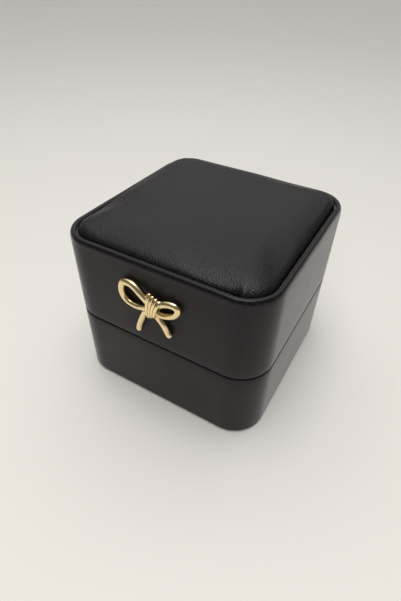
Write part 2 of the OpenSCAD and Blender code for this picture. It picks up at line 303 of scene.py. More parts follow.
# %% Pebble grain
def pebble_grain():
    """Raised pebbles with fine creases between them. Size is one pebble, in metres."""
    group = Group("pebble_grain", [("Place", VECTOR, None), ("Size", FLOAT, 0.001)],
                  [("Height", FLOAT), ("Crease", FLOAT)])
    rate = group.node("Math", {"operation": "DIVIDE"}, in0=1.0, in1=group.given.outputs["Size"])
    scaled = group.node("VectorMath", {"operation": "SCALE"}, in0=group.given.outputs["Place"],
                        Scale=rate.outputs[0])
    drift = group.node("TexNoise", None, Vector=scaled.outputs[0], Scale=0.6, Detail=2.0)
    shifted = group.node("VectorMath", {"operation": "MULTIPLY_ADD"}, in0=drift.outputs["Color"],
                         in1=(0.5, 0.5, 0.5), in2=scaled.outputs[0])
    cells = group.node("TexVoronoi", {"feature": "SMOOTH_F1"}, Vector=shifted.outputs[0],
                       Scale=1.0, Smoothness=0.35)
    fine = group.node("TexVoronoi", {"feature": "SMOOTH_F1"}, Vector=shifted.outputs[0],
                      Scale=2.3, Smoothness=0.5)
    both = group.node("Math", {"operation": "MULTIPLY_ADD"}, in0=fine.outputs["Distance"], in1=0.35,
                      in2=cells.outputs["Distance"])
    height = group.node("Math", {"operation": "SUBTRACT"}, in0=1.0, in1=both.outputs[0])
    crease = group.node("MapRange", {"interpolation_type": "SMOOTHSTEP"}, Value=both.outputs[0],
                        From_Min=0.55, From_Max=0.95)
    group.give("Height", height.outputs[0])
    group.give("Crease", crease.outputs["Result"])
    return group.tree

# %% [markdown]
# ### Marks, nap and drawn lines
# Handling changes how rough a surface is in broad, faint patches. Suede and greyboard have
# short fibres, and rolled metal has fine lines along one direction. All three are noise, at
# different sizes and stretched by different amounts.

# %% Marks, nap and lines
def handling_marks():
    """Broad, faint patches where hands and cloths have changed the sheen."""
    group = Group("handling_marks", [("Place", VECTOR, None), ("Size", FLOAT, 0.02),
                                     ("Low", FLOAT, 0.4), ("High", FLOAT, 0.5)], [("Value", FLOAT)])
    rate = group.node("Math", {"operation": "DIVIDE"}, in0=1.0, in1=group.given.outputs["Size"])
    scaled = group.node("VectorMath", {"operation": "SCALE"}, in0=group.given.outputs["Place"],
                        Scale=rate.outputs[0])
    cloud = group.node("TexNoise", None, Vector=scaled.outputs[0], Scale=1.0, Detail=4.0, Roughness=0.55)
    spread = group.node("MapRange", None, Value=cloud.outputs["Fac"], From_Min=0.3, From_Max=0.7,
                        To_Min=group.given.outputs["Low"], To_Max=group.given.outputs["High"])
    group.give("Value", spread.outputs["Result"])
    return group.tree


def short_nap():
    """Short fibres that lie this way and that, as on suede cloth or greyboard."""
    group = Group("short_nap", [("Place", VECTOR, None), ("Size", FLOAT, 0.0003)],
                  [("Height", FLOAT), ("Brushed", FLOAT)])
    rate = group.node("Math", {"operation": "DIVIDE"}, in0=1.0, in1=group.given.outputs["Size"])
    scaled = group.node("VectorMath", {"operation": "SCALE"}, in0=group.given.outputs["Place"],
                        Scale=rate.outputs[0])
    stretched = group.node("VectorMath", {"operation": "MULTIPLY"}, in0=scaled.outputs[0],
                           in1=(1.0, 0.45, 0.7))
    fibre = group.node("TexNoise", None, Vector=stretched.outputs[0], Scale=1.0, Detail=5.0,
                       Roughness=0.7, Distortion=0.6)
    sweep = group.node("TexNoise", None, Vector=scaled.outputs[0], Scale=0.03, Detail=3.0)
    group.give("Height", fibre.outputs["Fac"])
    group.give("Brushed", sweep.outputs["Fac"])
    return group.tree


def drawn_lines():
    """Fine lines along X, left by rolling and polishing metal."""
    group = Group("drawn_lines", [("Place", VECTOR, None), ("Size", FLOAT, 0.0002)], [("Height", FLOAT)])
    rate = group.node("Math", {"operation": "DIVIDE"}, in0=1.0, in1=group.given.outputs["Size"])
    scaled = group.node("VectorMath", {"operation": "SCALE"}, in0=group.given.outputs["Place"],
                        Scale=rate.outputs[0])
    drawn = group.node("VectorMath", {"operation": "MULTIPLY"}, in0=scaled.outputs[0], in1=(0.05, 1.0, 1.0))
    lines = group.node("TexNoise", None, Vector=drawn.outputs[0], Scale=1.0, Detail=3.0)
    group.give("Height", lines.outputs["Fac"])
    return group.tree


GRAIN, MARKS, NAP, LINES = pebble_grain(), handling_marks(), short_nap(), drawn_lines()
print("shader groups:", [g.name for g in bpy.data.node_groups])

# %% [markdown]
# ## Finishes
# Each finish is one short function: it places the groups it needs, mixes its colours, and
# joins everything to one shader. Plain numbers go straight on the shader's sockets.

# %% Finish helper
class Finish:
    """A material with a Principled shader, its place in the object, and a Bump before the normal."""

    def __init__(self, name, **plain):
        self.material = bpy.data.materials.new(name)
        self.material.use_nodes = True
        self.tree = self.material.node_tree
        self.shader = self.tree.nodes["Principled BSDF"]
        for label, value in plain.items():
            self.shader.inputs[label.replace("_", " ")].default_value = value
        self.place = self.tree.nodes.new("ShaderNodeTexCoord").outputs["Object"]

    def node(self, kind, settings=None, **sockets):
        return place_node(self.tree, kind, settings, **sockets)

    def group(self, tree, **dials):
        made = self.tree.nodes.new("ShaderNodeGroup")
        made.node_tree = tree
        self.tree.links.new(self.place, made.inputs["Place"])
        for label, value in dials.items():
            made.inputs[label].default_value = value
        return made

    def feed(self, label, socket):
        self.tree.links.new(socket, self.shader.inputs[label])

    def bump(self, height, strength, depth):
        made = self.node("Bump", None, Height=height, Strength=strength, Distance=depth)
        self.feed("Normal", made.outputs["Normal"])

    def blend(self, factor, dark, light):
        made = self.node("Mix", {"data_type": "RGBA"}, in0=factor, in6=dark, in7=light)
        self.feed("Base Color", made.outputs[2])

# %% [markdown]
# ### Leatherette
# The cushion's leatherette shows its pebbles, while the walls' is pulled almost flat over the
# shell and has a soft sheen at grazing angles. Over the rim it is drawn tight, so there it is
# smoother and shines. The underside has a coarse, dull cousin of it.

# %% Leatherette
POLISH_FADE = 0.7


def leatherette(name, pebble, depth, smooth, dull, polished=None, **plain):
    """Black leatherette. smooth and dull are the ends of its roughness, polished the height (mm)
    above which it is drawn tight and shines. plain goes on the shader."""
    finish = Finish(name, Specular_Tint=(0.95, 0.97, 1, 1), **plain)
    grain = finish.group(GRAIN, Size=pebble)
    marks = finish.group(MARKS, Size=0.018, Low=smooth, High=dull)
    finish.blend(grain.outputs["Crease"], (0.009, 0.0068, 0.008, 1), (0.004, 0.003, 0.0034, 1))
    rough = marks.outputs["Value"]
    if polished:
        height = finish.node("SeparateXYZ", None, Vector=finish.place).outputs["Z"]
        tight = finish.node("MapRange", {"interpolation_type": "SMOOTHSTEP"}, Value=height,
                            From_Min=(polished - POLISH_FADE) * MM, From_Max=polished * MM,
                            To_Min=1.0, To_Max=0.52)
        scaled = finish.node("Math", {"operation": "MULTIPLY"}, in0=rough, in1=tight.outputs["Result"])
        rough = scaled.outputs[0]
    finish.feed("Roughness", rough)
    finish.bump(grain.outputs["Height"], 1.0, depth)
    return finish.material


LEATHER = leatherette("black_leatherette", pebble=0.00045, depth=0.000072, smooth=0.28, dull=0.33, IOR=1.4)
WALL_LEATHER = leatherette("black_leatherette_wall", pebble=0.0006, depth=0.000014, smooth=0.46, dull=0.52,
                           polished=rim_z - 1.6, IOR=1.37, Sheen_Weight=0.5, Sheen_Roughness=0.3)
UNDERSIDE = leatherette("bonded_underside", pebble=0.0006, depth=0.00012, smooth=0.6, dull=0.7)
print("leatherettes:", LEATHER.name, WALL_LEATHER.name, UNDERSIDE.name)

# %% [markdown]
# ### Suede, foam, card and plastic
# Suede cloth is matt, with a nap that lies lighter or darker as it is brushed. The foam, the
# card and the moulded core are hardly seen, but each still has a surface of its own.

# %% Suede and what lies under the covers
def suede(name, light, dark):
    finish = Finish(name, Roughness=0.95, Sheen_Weight=0.35, Sheen_Roughness=0.4)
    nap = finish.group(NAP, Size=0.00035)
    finish.blend(nap.outputs["Brushed"], dark, light)
    finish.bump(nap.outputs["Height"], 0.7, 0.00012)
    return finish.material


def moulded_plastic(name):
    finish = Finish(name, IOR=1.46)
    grain = finish.group(GRAIN, Size=0.0004)
    marks = finish.group(MARKS, Size=0.01, Low=0.5, High=0.62)
    finish.blend(grain.outputs["Crease"], (0.03, 0.03, 0.031, 1), (0.018, 0.018, 0.018, 1))
    finish.feed("Roughness", marks.outputs["Value"])
    finish.bump(grain.outputs["Height"], 0.3, 0.00004)
    return finish.material


def grey_card(name):
    finish = Finish(name, Roughness=0.9)
    nap = finish.group(NAP, Size=0.0006)
    finish.blend(nap.outputs["Height"], (0.20, 0.17, 0.13, 1), (0.36, 0.32, 0.26, 1))
    finish.bump(nap.outputs["Height"], 0.4, 0.00008)
    return finish.material


def soft_foam(name):
    finish = Finish(name, Roughness=0.95)
    grain = finish.group(GRAIN, Size=0.0007)
    finish.blend(grain.outputs["Crease"], (0.80, 0.77, 0.70, 1), (0.50, 0.47, 0.41, 1))
    finish.bump(grain.outputs["Height"], 0.8, 0.0003)
    return finish.material


SUEDE = suede("cream_suede", light=(0.66, 0.57, 0.44, 1), dark=(0.52, 0.43, 0.32, 1))
PLASTIC = moulded_plastic("moulded_core")
CARD = grey_card("grey_card")
FOAM = soft_foam("pale_foam")
print("soft and hidden:", SUEDE.name, PLASTIC.name, CARD.name, FOAM.name)

# %% [markdown]
# ### Gold and steel
# The bow's plating is smooth and bright on the outside of every strand. Between the turns the
# gold is painted darker and redder, as painted shade where the turns crowd together: Pointiness
# tells the dips from the ridges. The hinge is zinc-plated steel with the fine lines of rolling.

# %% Metals
def plated_gold(name):
    """Satin gold, with painted shade: darker and redder in the dips between the turns."""
    finish = Finish(name, Metallic=1.0)
    marks = finish.group(MARKS, Size=0.004, Low=0.14, High=0.24)
    pointed = finish.node("NewGeometry").outputs["Pointiness"]
    crease_shade_mask = finish.node("MapRange", {"interpolation_type": "SMOOTHSTEP"}, Value=pointed,
                         From_Min=0.46, From_Max=0.515)
    # painted shade: where the surface dips between the turns, the gold is coloured darker and redder in place
    # of real shadow
    finish.blend(crease_shade_mask.outputs["Result"], (0.36, 0.2, 0.06, 1), (0.98, 0.81, 0.45, 1))
    finish.feed("Roughness", marks.outputs["Value"])
    return finish.material


def plated_steel(name):
    finish = Finish(name, Metallic=1.0)
    marks = finish.group(MARKS, Size=0.003, Low=0.22, High=0.42)
    tint = finish.group(MARKS, Size=0.006, Low=0.0, High=1.0)
    lines = finish.group(LINES, Size=0.00018)
    finish.blend(tint.outputs["Value"], (0.50, 0.50, 0.51, 1), (0.66, 0.66, 0.67, 1))
    finish.feed("Roughness", marks.outputs["Value"])
    finish.bump(lines.outputs["Height"], 0.25, 0.00003)
    return finish.material


GOLD = plated_gold("pale_gold")
STEEL = plated_steel("zinc_plated_steel")
print("metals:", GOLD.name, STEEL.name)

# %% [markdown]
# ### Solids that stay as they are
# The shells, the cards and the hinge are hard and machine-made, so the frame's own solids are
# shown and only get a finish.

# %% Finishes on the frame's solids
def refinish(material, *nodes):
    for name in nodes:
        mesh = frame["nodes"][name].data
        mesh.materials.clear()
        mesh.materials.append(material)


refinish(PLASTIC, "base_shell", "lid_shell")
refinish(UNDERSIDE, "bottom_sheet")
refinish(CARD, "insert_card", "top_card", "lid_pad_card")
refinish(STEEL, "hinge_base_leaf", "hinge_lid_leaf", "hinge_pin", "hinge_spring", "base_rivets",
         "lid_rivets", "bow_clips")
print("finishes:", [m.name for m in bpy.data.materials])

# %% [markdown]
# ## The leatherette walls
# One strip is wrapped round each shell, turned over its edges and glued. A strip is a thin
# section carried round the box, with round edges at the seam and a rolled rim on the lid.
# At the back the edges stand clear of the hinge: there the turn-in ends early and the edge
# follows a notch that leaves the lid room to swing.

# %% Room for the hinge
NOTCH = math.radians(hinge["range_deg"][1] / 2 + 4)
KNUCKLE_ROOM = 1.5
LEAF_GAP = 0.35
HINGE_STATIONS = [way * (hinge_half + LEAF_GAP) + step for way in (-1, 1) for step in (-0.1, 0.1)]


def hinge_clearance(x, y):
    """How far a back edge stands off the seam's height at a place."""
    behind = y - hinge_y
    notch = max(0.0, behind * math.tan(NOTCH))
    if abs(x) < hinge_half + LEAF_GAP and abs(behind) < KNUCKLE_ROOM:
        notch = max(notch, math.sqrt(KNUCKLE_ROOM ** 2 - behind ** 2))
    return notch


def at_hinge(x, y):
    return y > 0 and abs(x) < hinge_half + LEAF_GAP


print("edges stand %.2f mm off the pin, half notch %.1f degrees" % (KNUCKLE_ROOM, math.degrees(NOTCH)))

# %% [markdown]
# ### Sections of the two wraps
# A wall's section starts at the turn-in inside the seam's edge, goes round that edge and up or
# down the outside. The lid's then rolls over the rim and down into the recess; the base's
# turns in under the floor. The rim's outer side is a quarter of an ellipse, which drops a
# little further on the right.

# %% Wall sections
EDGE_R = 0.55
FOOT_R = 0.7
SOLE_IN = 6
RIM_DROP = 1.7
RIM_DROP_RIGHT = 2.6


def slack(x, y, z):
    """The gentle unevenness of a glued skin, in mm."""
    return 0.05 * noise.noise(Vector((x, y, z)) * 0.09)


def wall_section(x, y, edge_z, way, turn_in, far_end):
    """Section from the inside of the seam's edge, round it and up (way 1) or down (way -1)."""
    turn = skin_t + 0.15 if at_hinge(x, y) else turn_in
    lift = hinge_clearance(x, y)
    edge = edge_z + way * max(0.0, lift - abs(edge_z - hinge_z))
    outer = arc((EDGE_R, edge + way * EDGE_R), EDGE_R, -90 * way, -180 * way, 5)
    inner = [(skin_t, edge + way * skin_t), (turn, edge + way * skin_t), (turn, edge)]
    return inner + outer + far_end


def lid_section(x, y):
    rim_r = rim_w / 2
    drop = np.interp(x, (half_x - corner_r / 2, half_x), (RIM_DROP, RIM_DROP_RIGHT))
    up = [(0, z) for z in np.linspace(lid_low[2] + 3, rim_z - drop - 0.4, 8)]
    centre = (rim_r, rim_z - rim_r)
    crest = [(u, rim_z + (z - rim_z) * drop / rim_r) for u, z in arc(centre, rim_r, 180, 90, 12)]
    crest += arc(centre, rim_r, 90, 0, 8)[1:]
    down = [(rim_w, recess_z + glue_gap), (rim_w - skin_t, recess_z + glue_gap)]
    inside = arc(centre, rim_r - skin_t, 0, 180, 8)
    return wall_section(x, y, lid_low[2], 1, lid_wall_in, up + crest + down + inside)


def base_section(x, y):
    foot = base_low[2]
    wall = [(0, z) for z in np.linspace(base_high[2] - 3, foot + FOOT_R + 1, 7)]
    sole = arc((FOOT_R, foot + FOOT_R), FOOT_R, 180, 270, 6)
    under = [(SOLE_IN, foot), (SOLE_IN, foot + skin_t), (skin_t + 0.3, foot + skin_t)]
    return wall_section(x, y, base_high[2], -1, base_wall_in, wall + sole + under)


def uneven(points):
    """Points of a wrap. Those within 1 mm of the box's full width or depth move a little in or out."""
    return [(x, y, z) if abs(x) < half_x - 1 and abs(y) < half_y - 1
            else (x * (1 + slack(x, y, z) / half_x), y * (1 + slack(y, x, z) / half_x), z)
            for x, y, z in points]


wall_stations = loop_round((half_x, half_y), corner_r, extra_x=HINGE_STATIONS)
points, faces = sweep_section(wall_stations, lid_section)
lid_skin = add_piece("lid_leatherette", uneven(points), faces, "lid", "leatherette", WALL_LEATHER,
                     ["lid_leather"])
points, faces = sweep_section(wall_stations, base_section)
base_skin = add_piece("base_leatherette", uneven(points), faces, "base", "leatherette", WALL_LEATHER,
                      ["base_leather"])
print("walls:", len(lid_skin.data.polygons), len(base_skin.data.polygons))

# %% [markdown]
# ## Padded pieces
# Four pieces are padded: the panel in the lid's top, the two halves of the ring insert and
# the pad under the lid's ceiling. Each is cloth or leatherette pulled over foam and turned
# under a card, so it swells in the middle, rolls down at the edge and draws in at the
# corners. A flat slab with a bevel never looks like that. A cover is therefore laid out as a
# net on its rounded outline, held along its lower edge and blown up by a cloth simulation.
# The net has one line of quads from corner to corner, so the folds at the corners have
# somewhere to go.

# %% Net of a cover
class Outline:
    """Rounded rectangle with a radius for each corner: front right, back right, back left, front left."""

    def __init__(self, centre, half, radii):
        self.centre, self.half, self.radii = np.array(centre, float), np.array(half, float), radii

    def side(self, quarter, share):
        """Point on one side, from the middle of one corner (0) to the middle of the next (1)."""
        turn = math.pi / 2 * quarter
        out = np.array([math.cos(turn), math.sin(turn)])
        along = np.array([-out[1], out[0]])
        reach, run = self.half if quarter % 2 == 0 else self.half[::-1]
        first, last = self.radii[quarter], self.radii[(quarter + 1) % 4]
        lengths = (first * math.pi / 4, 2 * run - first - last, last * math.pi / 4)
        s = share * sum(lengths)
        if s < lengths[0]:
            a = s / first - math.pi / 4
            far, aside = reach - first + first * math.cos(a), first - run + first * math.sin(a)
        elif s < lengths[0] + lengths[1]:
            far, aside = reach, first - run + s - lengths[0]
        else:
            a = (s - lengths[0] - lengths[1]) / last
            far, aside = reach - last + last * math.cos(a), run - last + last * math.sin(a)
        return self.centre + out * far + along * aside

    def depth(self, x, y):
        """Distance of a point inside the outline from its edge."""
        p = np.array([x, y]) - self.centre
        corner = [(True, False), (True, True), (False, True), (False, False)].index((p[0] > 0, p[1] > 0))
        q = np.abs(p) - self.half + self.radii[corner]
        return self.radii[corner] - (math.hypot(max(q[0], 0), max(q[1], 0)) + min(max(q[0], q[1]), 0))


def cover_net(outline, cells, skirt):
    """Square net on an outline, with rows of skirt below it. Gives places, how many rows each
    lies down the skirt, and faces."""
    half = cells // 2
    places, index = [], {}
    for i in range(-half, half + 1):
        for j in range(-half, half + 1):
            ring = max(abs(i), abs(j))
            index[i, j] = len(places)
            if ring == 0:
                places.append(outline.centre)
                continue
            if abs(i) >= abs(j):
                quarter, share = (0, j / ring) if i > 0 else (2, -j / ring)
            else:
                quarter, share = (1, -i / ring) if j > 0 else (3, i / ring)
            edge = outline.side(quarter, (share + 1) / 2)
            spread = 1 - (1 - ring / half) ** 1.5
            places.append(outline.centre + (edge - outline.centre) * spread)
    faces = [(index[i, j], index[i + 1, j], index[i + 1, j + 1], index[i, j + 1])
             for i in range(-half, half) for j in range(-half, half)]
    ring = [index[half, j] for j in range(-half, half)] + [index[i, half] for i in range(half, -half, -1)] + \
           [index[-half, j] for j in range(half, -half, -1)] + [index[i, -half] for i in range(-half, half)]
    steps = [0] * len(places)
    for row in range(1, skirt + 1):
        below = list(range(len(places), len(places) + len(ring)))
        places += [places[k] for k in ring]
        steps += [row] * len(ring)
        after = list(range(1, len(ring))) + [0]
        faces += [(ring[k], below[k], below[n], ring[n]) for k, n in enumerate(after)]
        ring = below
    return np.array(places), np.array(steps), faces


sample = cover_net(Outline((0, 0), (10, 10), [2] * 4), cells=8, skirt=1)
print("a net of 8 cells with one row of skirt:", len(sample[0]), "points,", len(sample[2]), "faces")

# %% [markdown]
# ### Blowing the net up
# Cloth behaves badly at a few centimetres, so the net is simulated at ten times its size, with
# pressure inside and no gravity. What the simulation moved is then evened out between
# neighbours, because a real cover is too stiff for the small puckers it makes, and capped, so
# that a cover can't leave the room its piece has.

# %% Cloth
WORK_SCALE = 0.01
LAST_FRAME = 20


def blow_up(points, faces, held, pressure, cap):
    """Runs a cloth simulation at ten times the size. Returns the points, moved by cap mm at most."""
    mesh = bpy.data.meshes.new("cover_in_work")
    mesh.from_pydata([tuple(p * WORK_SCALE) for p in points], [], faces)
    work = bpy.data.objects.new("cover_in_work", mesh)
    bpy.context.collection.objects.link(work)
    grip = work.vertex_groups.new(name="held")
    grip.add([int(k) for k in held], 1.0, "REPLACE")
    cloth = work.modifiers.new("cloth", "CLOTH")
    cloth.settings.quality = 5
    cloth.settings.mass = 0.3
    cloth.settings.vertex_group_mass = "held"
    cloth.settings.tension_stiffness = cloth.settings.compression_stiffness = 60
    cloth.settings.bending_stiffness = 20
    cloth.settings.use_pressure = True
    cloth.settings.uniform_pressure_force = pressure
    cloth.settings.effector_weights.gravity = 0
    cloth.collision_settings.use_collision = False
    cloth.point_cache.frame_start, cloth.point_cache.frame_end = 1, LAST_FRAME
    for moment in range(1, LAST_FRAME + 1):
        bpy.context.scene.frame_set(moment)
    settled = work.evaluated_get(bpy.context.evaluated_depsgraph_get()).to_mesh()
    result = np.array([v.co for v in settled.vertices]) / WORK_SCALE
    bpy.data.objects.remove(work)
    bpy.data.meshes.remove(mesh)
    bpy.context.scene.frame_set(1)
    move = evened(result - points, faces, held, 10)
    length = np.maximum(np.linalg.norm(move, axis=1, keepdims=True), 1e-9)
    return points + move * np.minimum(1, cap / length)


def evened(move, faces, held, rounds):
    """Averages each point's move with its neighbours', which takes the puckers out of it."""
    quads = np.array(faces)
    for _ in range(rounds):
        total, count = np.zeros_like(move), np.zeros((len(move), 1))
        for k in range(4):
            np.add.at(total, quads[:, k], move[quads[:, k - 1]] + move[quads[:, k - 3]])
            np.add.at(count, quads[:, k], 2)
        move = total / count
        move[held] = 0
    return move

# %% [markdown]
# ### From net to cover
# A cover rises steeply over a lip at its edge, then gently over a shoulder, and ends in a low
# dome. A padded panel isn't quite the same on every side, so the lip and the shoulder are
# given for eight bearings. The cloth starts a little low, so that it has room to swell.

# %% Swelling a cover
SKIRT_ROWS = 3
CLOTH_ROOM = 0.94
LOOSE_FROM = 2.0


def swell(outline, deep, level, rise, lip, shoulder, dome, up, cells, pressure, cap):
    """A cover's outer points: net, first shape, cloth, then one subdivision. deep is the height of
    its lowest row and level that of its edge. It rises by rise in all: steeply over the lip, gently
    over the shoulder, the last of it as a dome. lip gives widths and shares of the rise, and shoulder
    widths, each for every 45 degrees from the right round."""
    places, steps, faces = cover_net(outline, cells, SKIRT_ROWS)
    depth = np.array([outline.depth(x, y) for x, y in places])
    bearing = np.degrees(np.arctan2(*((places - outline.centre) / outline.half).T[::-1])) % 360
    narrow, steep, wide = (np.interp(bearing, np.arange(0, 361, 45), a + a[:1]) for a in (*lip, shoulder))
    roll = steep * np.sqrt(1 - (1 - np.clip(depth / narrow, 0, 1)) ** 2)
    roll += (1 - steep) * (1 - (1 - np.clip(depth / wide, 0, 1)) ** 2)
    crown = (rise - dome) * roll + dome * (1 - (1 - depth / min(outline.half)) ** 2)
    side = (level - deep) * steps / SKIRT_ROWS
    first = np.column_stack([places, up * (level - side + CLOTH_ROOM * crown)])
    first[:, 2] = np.where(steps > 0, up * (level - side), first[:, 2])
    shape = first
    shape = blow_up(first, faces, np.flatnonzero(steps > 0), pressure, cap)
    gain = rise / (np.max(shape[:, 2] * up) - level)
    loose = np.clip(depth / LOOSE_FROM, 0, 1)[:, None]
    shape[:, :2] = first[:, :2] + (shape[:, :2] - first[:, :2]) * loose
    above = shape[:, 2] * up > level
    shape[above, 2] = up * (level + (shape[above, 2] * up - level) * gain)
    return finer(shape, faces)


def finer(points, faces):
    """One step of subdivision. Returns the new points and faces."""
    mesh = bpy.data.meshes.new("finer")
    mesh.from_pydata([tuple(p) for p in points], [], faces)
    work = bpy.data.objects.new("finer", mesh)
    bpy.context.collection.objects.link(work)
    work.modifiers.new("finer", "SUBSURF").levels = 1
    made = work.evaluated_get(bpy.context.evaluated_depsgraph_get()).to_mesh()
    result = np.array([v.co for v in made.vertices]), [tuple(f.vertices) for f in made.polygons]
    bpy.data.objects.remove(work)
    bpy.data.meshes.remove(mesh)
    return result

# %% [markdown]
# ### Thickness and core
# A cover is a sheet, so its outer surface is copied inwards by the cloth's thickness and the
# two are joined along the open edge. The foam core is the same surface again, set a little
# further in, with its foot stretched down to the card.

# %% Thickness and core
def open_edge(faces):
    """The open edge of a surface, as one loop of points in the faces' own direction."""
    edges = {}
    for face in faces:
        for a, b in zip(face, face[1:] + face[:1]):
            edges[a, b] = edges.get((a, b), 0) + 1
    follow = {a: b for a, b in edges if (b, a) not in edges}
    loop = [next(iter(follow))]
    while follow[loop[-1]] != loop[0]:
        loop.append(follow[loop[-1]])
    return loop


def outward(points, faces):
    """Unit normals of a surface's points, from the areas of its faces."""
    quads = np.array(faces)
    corners = points[quads]
    across = np.cross(corners[:, 2] - corners[:, 0], corners[:, 3] - corners[:, 1])
    normals = np.zeros_like(points)
    for k in range(4):
        np.add.at(normals, quads[:, k], across)
    return normals / np.linalg.norm(normals, axis=1, keepdims=True)


def add_pad(name, outer, faces, up, thick, core_low, body, look, core_look, nodes):
    """A cover of some thickness over a foam core. look and core_look are (slot, material)."""
    normals = outward(outer, faces)
    if np.mean(normals[:, 2]) * up < 0:
        normals = -normals
    low_row = open_edge(faces)
    lowest = np.min(outer[:, 2] * up)
    inner = outer - normals * thick
    inner[low_row, 2] = outer[low_row, 2]
    count = len(outer)
    rim = [(a, b, b + count, a + count) for a, b in zip(low_row, low_row[1:] + low_row[:1])]
    skin_faces = list(faces) + [tuple(k + count for k in f[::-1]) for f in faces] + rim
    cover = add_piece(name + "_cover", np.vstack([outer, inner]), skin_faces, body, *look, nodes[:1])
    core = outer - normals * (thick + 2 * glue_gap)
    height = core[:, 2] * up
    top_of_side = lowest + 1.0
    side = height < top_of_side
    height[side] = core_low + (height[side] - lowest) * (top_of_side - core_low) / (top_of_side - lowest)
    core[:, 2] = height * up
    add_piece(name + "_foam", core, list(faces) + [tuple(low_row)], body, *core_look, nodes[1:])

# %% [markdown]
# ## The cushioned top
# The panel in the lid stands well proud of the rim: its leatherette rolls down steeply into a
# dark groove all round, and it is drawn together in a short fold at each corner. The folds
# are too small for the cloth to find, so they are pressed in afterwards, as narrow ridges
# that fade out within a few millimetres.

# %% Corner folds
PLEAT_SOFT = 0.9
PLEAT_REACH = 4
PLEAT_DEPTH = 2.5


def corner_folds(points, faces, outline, folds):
    """Ridges that run in from the corners. A fold is (corner, angle, height, width, length, tuck):
    tuck is how far the side is drawn in on the ridge's left, as under a tight pleat."""
    normals = outward(points, faces)
    normals *= np.sign(np.mean(normals[:, 2]))
    inside = np.array([outline.depth(x, y) for x, y in points[:, :2]])
    for corner, angle, height, width, length, tuck in folds:
        turn = math.radians(angle)
        way = np.array([math.cos(turn), math.sin(turn)])
        sign = np.array({0: (1, -1), 1: (1, 1), 2: (-1, 1), 3: (-1, -1)}[corner])
        start = outline.centre + sign * (outline.half - outline.radii[corner])
        flat = points[:, :2] - start
        along = flat @ way
        aside = flat @ np.array([-way[1], way[0]])
        depth = outline.radii[corner] - along
        spread = width * (1 + np.clip(depth, 0, None) / length)
        strength = np.clip(1 - depth / length, 0, 1) ** 1.5 * (along > 0)
        ridge = height * strength * np.exp(-(aside / spread) ** 2)
        left = np.clip(-aside / PLEAT_SOFT, 0, 1) * (along > 0)
        left = left * np.exp(np.clip(aside, None, 0) / PLEAT_REACH)
        drawn = tuck * left * np.clip(1 - inside / PLEAT_DEPTH, 0, 1)
        points = points + normals * ridge[:, None]
        points[:, :2] -= way * drawn[:, None]
    return points


# %% Cushioned top
EDGE_BELOW_RIM = 1.4
pad_inset = half_x - span("top_cushion")[1][0]
crown_z = span("top_cushion")[1][2]
pad_r = corner_r - pad_inset
top_outline = Outline((-0.2, 0.1), (half_x - pad_inset + 0.2, half_y - pad_inset + 0.1),
                      [pad_r, pad_r - 0.9, pad_r, pad_r - 0.7])
lip_widths = [2.6, 1.8, 1.3, 1.3, 1.6, 2.6, 2.6, 1.5]
lip_shares = [0.42, 0.75, 0.9, 0.9, 0.8, 0.55, 0.36, 0.22]
outer, faces = swell(top_outline, deep=recess_z, level=rim_z - EDGE_BELOW_RIM,
                     rise=crown_z - rim_z + EDGE_BELOW_RIM, lip=(lip_widths, lip_shares),
                     shoulder=[7, 6, 5, 5, 5, 6, 7, 7.8], dome=0.8, up=1, cells=64, pressure=1.5, cap=0.5)
small_fold = (0.15, 0.6, 4, 0.1)
outer = corner_folds(outer, faces, top_outline, [
    (0, -73, 0.4, 0.7, 7, 0.9), (1, 50, *small_fold), (2, 137, *small_fold), (3, -128, *small_fold)])
add_pad("top_pad", outer, faces, 1, skin_t, span("top_foam")[0][2], "lid", ("leatherette", LEATHER),
        ("foam", FOAM), ["top_cushion", "top_foam"])
print("top pad:", len(faces), "faces, crown at %.2f mm" % np.max(outer[:, 2]))

# %% [markdown]
# ## The lining
# The inner walls are strips of card covered in suede cloth. The base's strip stands above
# the seam as a collar that the lid closes over. The cloth is turned over the card's edge, so
# the lip is round.

# %% Lining
def lining_section(outer_in, inner_in, low, high, lip_up, pockets=()):
    """Section of a lined strip. A pocket is (x, height, half width, depth) in the front's outer face."""
    lip_r = (inner_in - outer_in) / 2
    middle = outer_in + lip_r

    def section(x, y):
        outside = [(outer_in + 0.02 * noise.noise(Vector((x, y, z)) * 0.2), z)
                   for z in np.linspace(low + lip_r, high - lip_r, 9)]
        for px, pz, reach, deep in pockets:
            sunk = deep if y < 0 and abs(x - px) < reach and abs(y) > half_y - inner_in - 1 else 0
            outside = [p for p in outside if abs(p[1] - pz) > reach + 0.3]
            outside += [(outer_in, pz - reach - 0.1), (outer_in + sunk, pz - reach),
                        (outer_in + sunk, pz + reach), (outer_in, pz + reach + 0.1)]
        outside = sorted(outside, key=lambda p: p[1])
        inside = [(inner_in + 0.06 * noise.noise(Vector((x, y, z)) * 0.12), z)
                  for z in np.linspace(high - lip_r, low + lip_r, 14)]
        if lip_up:
            lip = arc((middle, high - lip_r), lip_r, 180, 0, 8)[1:-1]
            return [(outer_in, low)] + outside + lip + inside + [(inner_in, low)]
        lip = arc((middle, low + lip_r), lip_r, 360, 180, 8)[1:-1]
        return outside + [(outer_in, high), (inner_in, high)] + inside + lip

    return section


base_liner_low, base_liner_high = span("base_liner")
base_lined = half_x - span("insert_card")[1][0] - glue_gap
points, faces = sweep_section(loop_round((half_x, half_y), corner_r), lining_section(
    base_wall_in, base_lined, base_liner_low[2], base_liner_high[2], lip_up=True))
add_piece("base_lining", points, faces, "base", "suede", SUEDE, ["base_liner"])

# %% [markdown]
# ### The lid's lining
# The bow's posts come through the front wall and end in clips, so the lid's lining has two
# shallow pockets in its outer face to make room for them.

